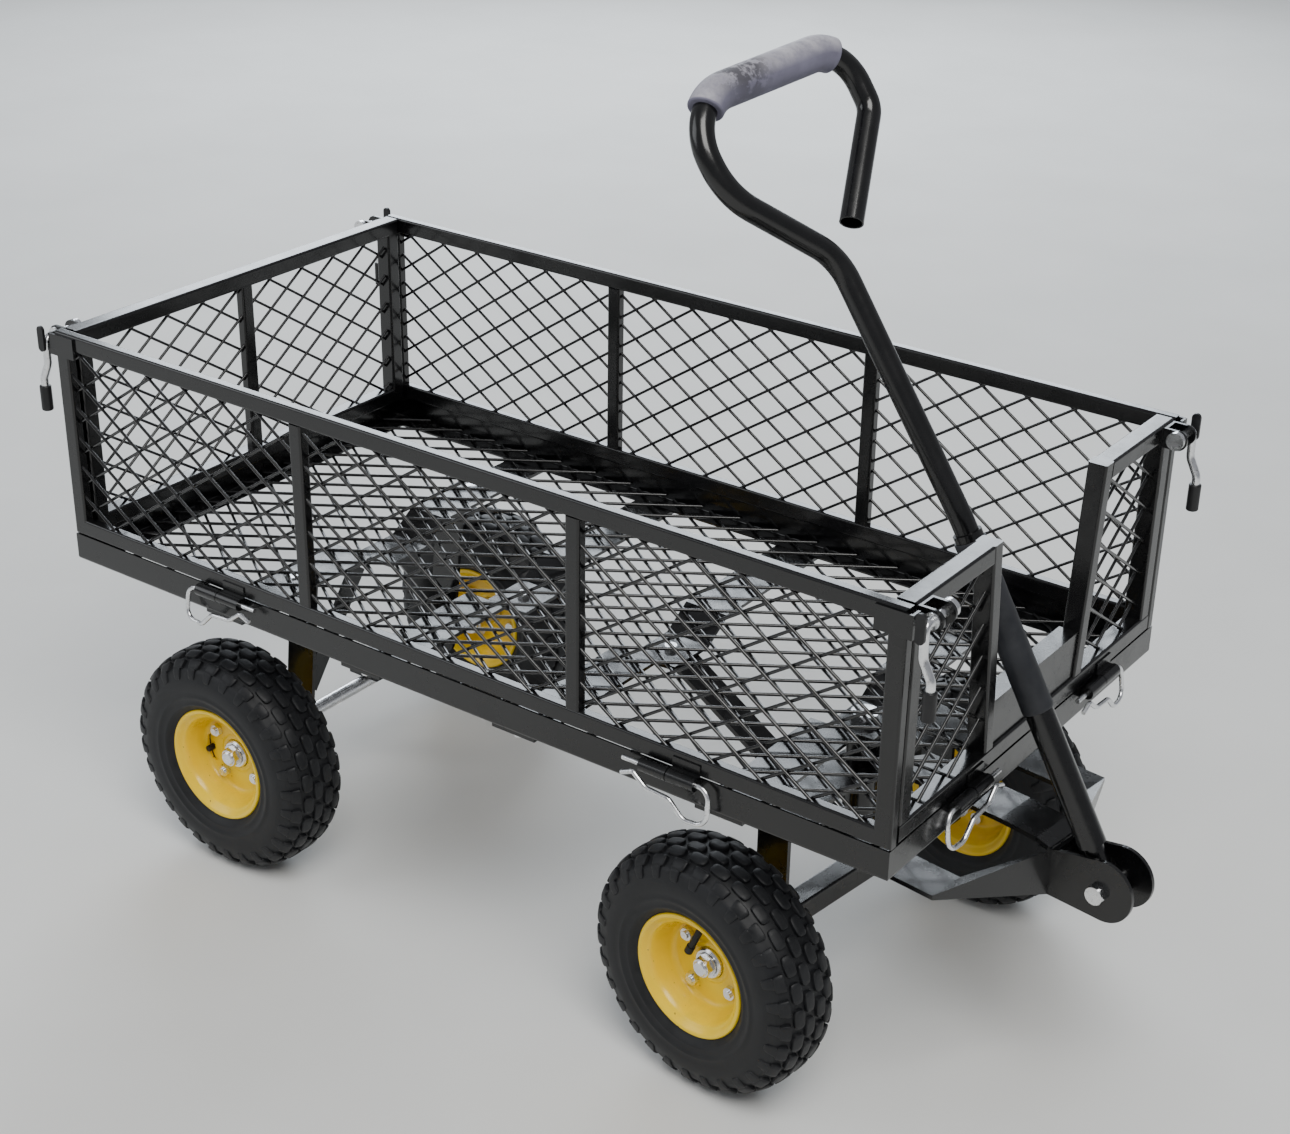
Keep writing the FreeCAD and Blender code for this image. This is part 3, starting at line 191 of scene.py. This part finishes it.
def moulded(name, dark, light, roughness, grain, dust):
    """Rubber or plastic: mottled tone, fine grain and a film of dust in patches."""
    material, tree, shader, place = new_material(name)
    patches = noise(tree, place, 22.0, 6.0, 0.6)
    tone = ramp(tree, patches.outputs["Fac"], [(0.3, dark), (0.7, light)])
    film = noise(tree, place, 48.0, 8.0, 0.7)
    dusty = spread(tree, film.outputs["Fac"], 0.0, dust[1], 0.42, 0.72)
    colour = mix(tree, dusty.outputs["Result"], tone.outputs["Color"], dust[0])
    tree.links.new(colour.outputs["Result"], shader.inputs["Base Color"])
    matte = spread(tree, film.outputs["Fac"], roughness[0], roughness[1])
    tree.links.new(matte.outputs["Result"], shader.inputs["Roughness"])
    fine = noise(tree, place, grain, 4.0)
    coarse = noise(tree, place, grain / 6, 5.0)
    broad = bump(tree, shader, coarse.outputs["Fac"], 0.12, 0.0005)
    bump(tree, shader, fine.outputs["Fac"], 0.25, 0.0002, broad)
    shader.inputs["Specular IOR Level"].default_value = 0.35
    return material


def foam():
    """Foam: lighter in patches where it faces up, with a dark rubbed patch near its right-hand end."""
    material, tree, shader, place = new_material("grip_foam")
    patches = noise(tree, place, 26.0, 7.0, 0.65)
    tone = ramp(tree, patches.outputs["Fac"], [(0.3, (0.115, 0.110, 0.155)), (0.7, (0.185, 0.180, 0.245))])
    # Patches on faces that point up are mixed towards a light grey (0.47, 0.46, 0.50); the same noise shapes the
    # rubbed patch.
    blotches = noise(tree, place, 70.0, 8.0, 0.7)
    lighter_facing_up = times(
        tree,
        facing_up(tree).outputs["Result"],
        spread(tree, blotches.outputs["Fac"], 0.35, 1.0, 0.35, 0.62).outputs["Result"],
    )
    colour = mix(tree, lighter_facing_up.outputs["Value"], tone.outputs["Color"], (0.47, 0.46, 0.50))
    low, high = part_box("handle_grip")
    rub = tree.nodes.new("ShaderNodeVectorMath")
    rub.operation = "DISTANCE"
    rub.inputs[1].default_value = ((low[0] + high[0]) / 2, low[1] * 0.72 + high[1] * 0.28, high[2])
    tree.links.new(place.outputs["Object"], rub.inputs[0])
    near = spread(tree, rub.outputs["Value"], 1.0, 0.0, 0.020, 0.045)
    torn = spread(tree, blotches.outputs["Fac"], 0.0, 0.9, 0.44, 0.52)
    patch = times(tree, near.outputs["Result"], torn.outputs["Result"])
    colour = mix(tree, patch.outputs["Value"], colour.outputs["Result"], (0.045, 0.043, 0.055))
    tree.links.new(colour.outputs["Result"], shader.inputs["Base Color"])
    matte = spread(tree, patches.outputs["Fac"], 0.60, 0.85)
    tree.links.new(matte.outputs["Result"], shader.inputs["Roughness"])
    pores = noise(tree, place, 620.0, 4.0)
    dents = noise(tree, place, 90.0, 4.0)
    broad = bump(tree, shader, dents.outputs["Fac"], 0.25, 0.001)
    bump(tree, shader, pores.outputs["Fac"], 0.35, 0.0003, broad)
    return material


MATERIALS = {
    "black_paint": paint(
        "black_enamel",
        (0.0012, 0.0012, 0.0015),
        (0.0034, 0.0034, 0.0038),
        (0.18, 0.32),
        ((0.10, 0.10, 0.10), 0.07),
        0.3,
    ),
    "black_wire": paint(
        "black_wire_enamel",
        (0.0016, 0.0016, 0.0018),
        (0.0045, 0.0045, 0.0050),
        (0.16, 0.30),
        ((0.12, 0.12, 0.12), 0.08),
        0.5,
    ),
    "yellow_paint": paint(
        "yellow_enamel",
        (0.86, 0.54, 0.002),
        (0.95, 0.66, 0.004),
        (0.24, 0.40),
        ((0.45, 0.29, 0.05), 0.30),
        0.25,
        (0.30, 0.17, 0.03),
    ),
    "zinc": plated("zinc_plate", (0.70, 0.71, 0.73), (0.88, 0.89, 0.90), (0.16, 0.34)),
    "tyre": moulded(
        "tyre_rubber",
        (0.004, 0.0043, 0.0054),
        (0.009, 0.0097, 0.0115),
        (0.42, 0.62),
        900.0,
        ((0.030, 0.031, 0.033), 0.35),
    ),
    "sleeve": moulded(
        "sleeve_rubber",
        (0.012, 0.013, 0.016),
        (0.022, 0.024, 0.029),
        (0.42, 0.60),
        700.0,
        ((0.05, 0.05, 0.055), 0.3),
    ),
    "grip": foam(),
    "latch_grip": moulded(
        "latch_plastic",
        (0.006, 0.006, 0.007),
        (0.014, 0.014, 0.015),
        (0.32, 0.50),
        800.0,
        ((0.05, 0.05, 0.05), 0.2),
    ),
}

for row in RECORD["subparts"]:
    mesh = NODES[row["node"]].data
    mesh.materials.clear()
    mesh.materials.append(MATERIALS[row["material_slot"]])
    mesh.shade_smooth()
    mesh.set_sharp_from_angle(angle=math.radians(32))


# ---------------------------------------------------------------- mesh helpers
def make_object(name, points, faces, slot, sharp=34.0):
    mesh = bpy.data.meshes.new(name)
    mesh.from_pydata([tuple(p) for p in points], [], faces)
    clean = bmesh.new()
    clean.from_mesh(mesh)
    bmesh.ops.recalc_face_normals(clean, faces=clean.faces)
    clean.to_mesh(mesh)
    clean.free()
    mesh.materials.append(MATERIALS[slot])
    mesh.shade_smooth()
    mesh.set_sharp_from_angle(angle=math.radians(sharp))
    piece = bpy.data.objects.new(name, mesh)
    bpy.context.scene.collection.objects.link(piece)
    return piece


def lathe(profile, turns):
    """Points and faces of a closed (radius, offset) profile turned about the Y axis."""
    points, faces = [], []
    count = len(profile)
    for i in range(turns):
        angle = 2 * math.pi * i / turns
        for r, t in profile:
            points.append((r * math.cos(angle), t, r * math.sin(angle)))
        here, ahead = i * count, ((i + 1) % turns) * count
        for k in range(count):
            after = (k + 1) % count
            faces.append((here + k, here + after, ahead + after, ahead + k))
    return points, faces


def rounded(corners, reach, steps=4):
    """A closed profile with its corners rounded off; reach is how far each round starts from its corner."""
    out = []
    count = len(corners)
    for i, here in enumerate(corners):
        here = Vector(here)
        back = Vector(corners[i - 1]) - here
        ahead = Vector(corners[(i + 1) % count]) - here
        size = min(reach, back.length * 0.45, ahead.length * 0.45)
        first = here + back.normalized() * size
        last = here + ahead.normalized() * size
        for k in range(steps + 1):
            f = k / steps
            out.append(tuple(first * (1 - f) ** 2 + here * 2 * f * (1 - f) + last * f ** 2))
    return out


def wheel_place(corner):
    """The wheel's frame: centre, and its Y axis pointing outboard along the axle."""
    joint = next(j for j in frame["joints"] if j["name"] == "wheel_spin_" + corner)
    outboard = Vector(joint["axis"]).normalized() * (1 if corner.endswith("left") else -1)
    up = Vector((0, 0, 1))
    ahead = outboard.cross(up)
    turn = Matrix((ahead, outboard, up)).transposed().to_4x4()
    return Matrix.Translation(Vector(joint["pos_m"])) @ turn


def place_wheel_piece(piece, corner):
    """Turn the piece's mesh to where its wheel has rolled to, then stand it on its axle."""
    piece.data.transform(Matrix.Rotation(math.radians(WHEEL_TURNS[corner]), 4, "Y"))
    piece.matrix_world = wheel_place(corner)


def finish_piece(piece, body, node):
    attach(piece, body)
    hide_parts(node)


# ---------------------------------------------------------------- tyres
TYRE_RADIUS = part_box("tyre_rear_right")[1][2] / 2
TYRE_HALF = (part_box("tyre_rear_right")[1][1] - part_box("tyre_rear_right")[0][1]) / 2
SHOULDER_RADIUS = TYRE_RADIUS - 40 * MM
TREAD_DEPTH = 4.2 * MM
TREAD_PITCHES = 29
TYRE_TURNS = 116
BLOCK_SIDES = 20
WHEEL_TURNS = {"front_left": 40.0, "front_right": 9.0, "rear_left": 70.0, "rear_right": 99.0}


def tyre_skin(turn, sink=0.0):
    """(radius, offset) on the tyre's outer section; turn runs from -90 to 90 degrees across it."""
    wide = math.copysign(abs(math.sin(turn)) ** 0.72, turn)
    high = abs(math.cos(turn)) ** 0.62
    r = SHOULDER_RADIUS + (TYRE_RADIUS - SHOULDER_RADIUS) * high
    t = TYRE_HALF * wide
    out_r = abs(math.cos(turn * 0.8))
    out_t = math.sin(turn * 0.8)
    return r - sink * out_r, t - sink * out_t


def groove(turn):
    """How far the rubber between the blocks lies below their tops: deep on the crown, shallow on walls."""
    share = np.interp(abs(turn), (0.0, 0.85, 1.10, 1.36, 1.43), (1.0, 1.0, 0.42, 0.36, 0.0))
    return float(share) * TREAD_DEPTH


def carcass_profile():
    outside = []
    steps = 36
    for i in range(steps + 1):
        turn = math.pi * (i / steps - 0.5)
        outside.append(tyre_skin(turn, groove(turn)))
    wall = [(86, 41.4), (84.5, 42.0), (82.5, 42.0), (81, 41.2)]
    wall += [(76, 39.6), (74.5, 40.2), (72.5, 39.6), (70, 36.4)]
    bead = [(65.5, 33.2), (62.0, 31.5), (59.5, 30.0), (59.5, 26.5), (63, 26.4), (70, 29.5), (80, 34.0)]
    hollow = [(92, 34.5), (106, 31), (115, 22), (119, 10)]
    right = [(r * MM, t * MM) for r, t in wall + bead + hollow]
    return outside + right + [(r, -t) for r, t in reversed(right)]


def tread_block(low_turn, high_turn, start, end, squareness, taper, base):
    """One closed tread block with a rounded outline, between two angles across and two round the tyre.

    squareness runs from 1, an ellipse, down to 0, a rectangle.  taper narrows it towards the sidewall.
    """
    middle, half_across = (low_turn + high_turn) / 2, (high_turn - low_turn) / 2
    centre, half_along = (start + end) / 2, (end - start) / 2
    layers = ((0.0, 0.0), (0.55, 0.0), (0.90, 0.05), (1.0, 0.22), (1.06, 1.2), (0.0, 1.2))
    points, faces = [], []
    for grow, sink in layers:
        for k in range(BLOCK_SIDES):
            a = 2 * math.pi * (k + 0.5) / BLOCK_SIDES
            u = grow * math.copysign(abs(math.cos(a)) ** squareness, math.cos(a))
            v = grow * math.copysign(abs(math.sin(a)) ** squareness, math.sin(a))
            turn = middle + half_across * u
            down = (abs(turn) - min(abs(low_turn), abs(high_turn))) / abs(high_turn - low_turn)
            angle = centre + half_along * v * (1 - taper * max(0.0, down))
            r, t = tyre_skin(turn, sink * groove(turn) + (0.4 * MM if sink > 1 else 0.0))
            points.append((r * math.cos(angle), t, r * math.sin(angle)))
            if grow == 0.0:
                break
    top, rings = base, [base + 1 + i * BLOCK_SIDES for i in range(4)]
    bottom = base + 1 + 4 * BLOCK_SIDES
    for k in range(BLOCK_SIDES):
        after = (k + 1) % BLOCK_SIDES
        faces.append((top, rings[0] + k, rings[0] + after))
        for inner, outer in zip(rings, rings[1:]):
            faces.append((inner + k, outer + k, outer + after, inner + after))
        faces.append((bottom, rings[-1] + after, rings[-1] + k))
    return points, faces


def tread_data():
    """The moulded carcass with two crown rows, two outer rows and the shoulder blocks of each side."""
    points, faces = lathe(carcass_profile(), TYRE_TURNS)
    pitch = 2 * math.pi / TREAD_PITCHES
    rows = (
        (0.010, 0.205, 0.00, 0.74, 0.55, 0.0),
        (0.245, 0.570, 0.50, 0.74, 0.55, 0.0),
        (0.640, 1.030, 0.00, 0.68, 0.35, 0.15),
        (1.000, 1.370, 0.02, 0.50, 0.35, 0.30),
    )
    for side, shift in ((-1, 0.5), (1, 0.0)):
        for low, high, phase, fill, squareness, taper in rows:
            for i in range(TREAD_PITCHES):
                start = (i + phase + shift) * pitch
                ends = sorted((side * low, side * high))
                more = tread_block(*ends, start, start + pitch * fill, squareness, taper, len(points))
                points += more[0]
                faces += more[1]
    return points, faces


def tube_data(path, radii, base, sides=20):
    """A closed round bar whose middle line is path, with a radius for each point of it."""
    points, faces = [], []
    for i, here in enumerate(path):
        way = (path[min(i + 1, len(path) - 1)] - path[max(i - 1, 0)]).normalized()
        across = way.cross(Vector((0.3, 0.2, 1))).normalized()
        other = way.cross(across)
        for k in range(sides):
            a = 2 * math.pi * k / sides
            points.append(tuple(here + (across * math.cos(a) + other * math.sin(a)) * radii[i]))
    for i in range(len(path) - 1):
        for k in range(sides):
            after = (k + 1) % sides
            row = base + i * sides
            faces.append((row + k, row + after, row + sides + after, row + sides + k))
    faces.append(tuple(base + k for k in reversed(range(sides))))
    faces.append(tuple(base + (len(path) - 1) * sides + k for k in range(sides)))
    return points, faces


VALVE_CIRCLE = 40.5 * MM
VALVE_RADIUS = 3.6 * MM
CAP_RADIUS = 4.4 * MM
CAP_LENGTH = 9 * MM


def valve_line(corner):
    """Middle line and radii of the valve stem: bent over with a cap in front, a short stub at the rear."""
    root = Vector((0, 0.3 * MM, VALVE_CIRCLE))
    if corner.startswith("rear"):
        path = [root, root + Vector((0, 8.2 * MM, 0)), root + Vector((0, 9 * MM, 0))]
        return path, [VALVE_RADIUS, VALVE_RADIUS, VALVE_RADIUS * 0.8]
    lean = 19 * MM if corner.endswith("right") else -19 * MM
    elbow = Vector((0, 10 * MM, VALVE_CIRCLE))
    tip = Vector((lean, 12 * MM, 10 * MM))
    first = root.lerp(elbow, 0.45)
    last = elbow + (tip - elbow).normalized() * 5.5 * MM
    path = [root]
    for k in range(9):
        f = k / 8
        path.append(first * (1 - f) ** 2 + elbow * 2 * f * (1 - f) + last * f ** 2)
    cap = tip + (elbow - tip).normalized() * CAP_LENGTH
    step = (tip - cap).normalized() * 0.3 * MM
    path += [cap - step, cap, tip - step * 2, tip]
    return path, [VALVE_RADIUS] * 11 + [CAP_RADIUS, CAP_RADIUS, CAP_RADIUS * 0.86]


tread_points, tread_faces = tread_data()
for corner in CORNERS:
    stem_points, stem_faces = tube_data(*valve_line(corner), len(tread_points))
    tyre = make_object(
        "rubber_tyre_" + corner, tread_points + stem_points, tread_faces + stem_faces, "tyre", 40.0
    )
    place_wheel_piece(tyre, corner)
    finish_piece(tyre, "wheel_" + corner, "tyre_" + corner)


# ---------------------------------------------------------------- pressed rims
RIM_SHEET = 2.2
LIP_RADIUS = 66.0
LIP_OFFSET = 34.0
HUB_RADIUS = 16.0


def rim_half(side):
    """One pressed half: rolled lip, stepped bead seat, deep barrel, pressed ring and flat centre."""
    face = [
        (LIP_RADIUS, LIP_OFFSET - 1.0),
        (LIP_RADIUS - 1.2, LIP_OFFSET + 1.6),
        (LIP_RADIUS - 4.5, LIP_OFFSET + 1.4),
        (57.0, 31.0),
        (54.6, 29.4),
        (52.4, 25.0),
        (50.6, 17.5),
        (50.0, 15.5),
        (48.2, 6.5),
        (45.0, 2.6),
        (41.0, RIM_SHEET),
        (23.0, RIM_SHEET),
        (21.0, RIM_SHEET + 1.0),
        (HUB_RADIUS + 0.2, RIM_SHEET + 1.0),
    ]
    back = [
        (HUB_RADIUS + 0.2, 0.05),
        (45.5, 0.05),
        (50.2, 7.0),
        (54.6, 24.6),
        (57.0, 28.2),
        (61.5, 31.2),
        (LIP_RADIUS - 1.8, LIP_OFFSET - 2.4),
    ]
    corners = [(r * MM, side * t * MM) for r, t in face + back]
    return rounded(corners, 2.2 * MM, 3)


def cut_slot(piece, outboard):
    """The kidney-shaped opening beside the valve, cut right through the outboard disc."""
    cutters = []
    for step in range(7):
        angle = math.radians(90 + (step - 3) * 5.3)
        centre = Vector((math.cos(angle), 0, math.sin(angle))) * VALVE_CIRCLE
        centre.y += 2 * MM * outboard
        bpy.ops.mesh.primitive_cylinder_add(vertices=24, radius=5.2 * MM, depth=14 * MM, location=centre)
        cutter = bpy.context.active_object
        cutter.rotation_euler = (math.pi / 2, 0, 0)
        cutters.append(cutter)
    for cutter in cutters:
        modifier = piece.modifiers.new("slot", "BOOLEAN")
        modifier.operation = "DIFFERENCE"
        modifier.solver = "EXACT"
        modifier.object = cutter
        bpy.context.view_layer.update()
        solved = bpy.data.meshes.new_from_object(piece.evaluated_get(bpy.context.evaluated_depsgraph_get()))
        piece.modifiers.clear()
        piece.data = solved
    for cutter in cutters:
        bpy.data.objects.remove(cutter)
    piece.data.shade_smooth()
    piece.data.set_sharp_from_angle(angle=math.radians(34))


outer_points, outer_faces = lathe(rim_half(1), 96)
outer_rim = make_object("rim_pattern", outer_points, outer_faces, "yellow_paint")
cut_slot(outer_rim, 1)
inner_points, inner_faces = lathe(rim_half(-1), 96)
inner_rim = make_object("rim_pattern_inner", inner_points, inner_faces, "yellow_paint")
both = bmesh.new()
both.from_mesh(outer_rim.data)
both.from_mesh(inner_rim.data)
rim_mesh = outer_rim.data.copy()
both.to_mesh(rim_mesh)
both.free()
for pattern in (outer_rim, inner_rim):
    bpy.data.objects.remove(pattern)
for corner in CORNERS:
    rim = bpy.data.objects.new("pressed_rim_" + corner, rim_mesh.copy())
    bpy.context.scene.collection.objects.link(rim)
    place_wheel_piece(rim, corner)
    finish_piece(rim, "wheel_" + corner, "rim_" + corner)


# ---------------------------------------------------------------- sleeve, turned about the node's own axis
def long_axis(node):
    """(middle, direction, half length, radius) of a round bar-like node, measured from its own points."""
    mesh = NODES[node].data
    flat = np.zeros(len(mesh.vertices) * 3)
    mesh.vertices.foreach_get("co", flat)
    cloud = flat.reshape(-1, 3)
    centred = cloud - (cloud.max(axis=0) + cloud.min(axis=0)) / 2
    direction = np.linalg.svd(centred - centred.mean(axis=0), full_matrices=False)[2][0]
    if direction[np.argmax(abs(direction))] < 0:
        direction = -direction
    along = cloud @ direction
    middle_along = (along.max() + along.min()) / 2
    off_axis = cloud - np.outer(along, direction)
    centre = (off_axis.max(axis=0) + off_axis.min(axis=0)) / 2
    radius = np.linalg.norm(off_axis - centre, axis=1).max()
    middle = centre + direction * middle_along
    return Vector(middle), Vector(direction), (along.max() - along.min()) / 2, radius


def turned_piece(name, node, body, slot, outline, bore, turns=64):
    """A sleeve-like piece along a node's axis.

    outline gives (share of half length, share of radius), and bore is the hole's share of the radius.
    """
    middle, direction, half, radius = long_axis(node)
    profile = [(radius * r, half * t) for t, r in outline]
    profile += [(radius * bore, half * outline[-1][0]), (radius * bore, half * outline[0][0])]
    points, faces = lathe(profile, turns)
    piece = make_object(name, points, faces, slot, 50.0)
    piece.matrix_world = Matrix.Translation(middle) @ direction.to_track_quat("Y", "Z").to_matrix().to_4x4()
    finish_piece(piece, body, node)


def sleeve_outline():
    """Rolled ends and a slightly uneven barrel."""
    ends = [(-1.0, 0.955), (-0.992, 0.985), (-0.96, 0.995), (-0.93, 0.985)]
    barrel = [(t / 10, 0.975 + 0.006 * math.sin(t * 1.7)) for t in range(-8, 9)]
    return ends + barrel + [(-t, r) for t, r in reversed(ends)]


turned_piece("rubber_sleeve", "handle_sleeve", "handle", "sleeve", sleeve_outline(), 0.90, 72)


# ---------------------------------------------------------------- studio
def area_light(name, place, target, size, power, colour):
    data = bpy.data.lights.new(name, "AREA")
    data.shape = "RECTANGLE"
    data.size, data.size_y = size
    data.energy = power
    data.color = colour
    lamp = bpy.data.objects.new(name, data)
    lamp.location = place
    lamp.rotation_euler = (Vector(target) - Vector(place)).to_track_quat("-Z", "Y").to_euler()
    bpy.context.scene.collection.objects.link(lamp)


def floor_material():
    material, tree, shader, place = new_material("studio_floor")
    soft = noise(tree, place, 3.0, 3.0)
    tone = ramp(tree, soft.outputs["Fac"], [(0.3, (0.74, 0.74, 0.72)), (0.7, (0.79, 0.79, 0.77))])
    tree.links.new(tone.outputs["Color"], shader.inputs["Base Color"])
    shader.inputs["Roughness"].default_value = 0.9
    return material


bpy.ops.mesh.primitive_plane_add(size=14.0, location=(0, 0, 0))
floor = bpy.context.active_object
floor.name = "studio_floor"
floor.data.materials.append(floor_material())

MIDDLE = (0.0, 0.0, 0.35)
area_light("key", (1.8, -1.6, 3.6), MIDDLE, (2.2, 2.2), 135.0, (1.0, 0.99, 0.96))
area_light("fill", (-2.6, -2.4, 2.2), MIDDLE, (2.2, 2.2), 34.0, (0.94, 0.97, 1.0))
area_light("sky_glow", (-2.6, 3.6, 2.3), MIDDLE, (3.4, 2.2), 170.0, (0.86, 0.93, 1.0))
world = bpy.data.worlds.new("studio_sky")
bpy.context.scene.world = world
world.use_nodes = True
world.node_tree.nodes["Background"].inputs["Color"].default_value = (0.93, 0.95, 1.0, 1.0)
world.node_tree.nodes["Background"].inputs["Strength"].default_value = 0.34

# ---------------------------------------------------------------- camera
IMAGE_WIDTH = 1290.0
FOCAL = 2213.5
AZIMUTH = math.radians(35.32)
ELEVATION = math.radians(26.94)
ROLL = math.radians(-1.20)
TRAY_MIDDLE_X = -0.0585
CAMERA_PLACE = Vector((1.265 + TRAY_MIDDLE_X, -1.663, 1.406))

back = Vector((
    math.sin(AZIMUTH) * math.cos(ELEVATION), -math.cos(AZIMUTH) * math.cos(ELEVATION), math.sin(ELEVATION)
))
right = (-back).cross(Vector((0, 0, 1))).normalized()
down = (-back).cross(right)
camera_x = right * math.cos(ROLL) + down * math.sin(ROLL)
camera_y = right * math.sin(ROLL) - down * math.cos(ROLL)
lens = bpy.data.cameras.new("photo_view")
lens.sensor_width = 36.0
lens.lens = FOCAL / IMAGE_WIDTH * 36.0
lens.shift_x = -0.0147
lens.shift_y = 0.0202
camera = bpy.data.objects.new("photo_view", lens)
camera_turn = Matrix((camera_x, camera_y, back)).transposed().to_4x4()
camera.matrix_world = Matrix.Translation(CAMERA_PLACE) @ camera_turn
bpy.context.scene.collection.objects.link(camera)
bpy.context.scene.camera = camera
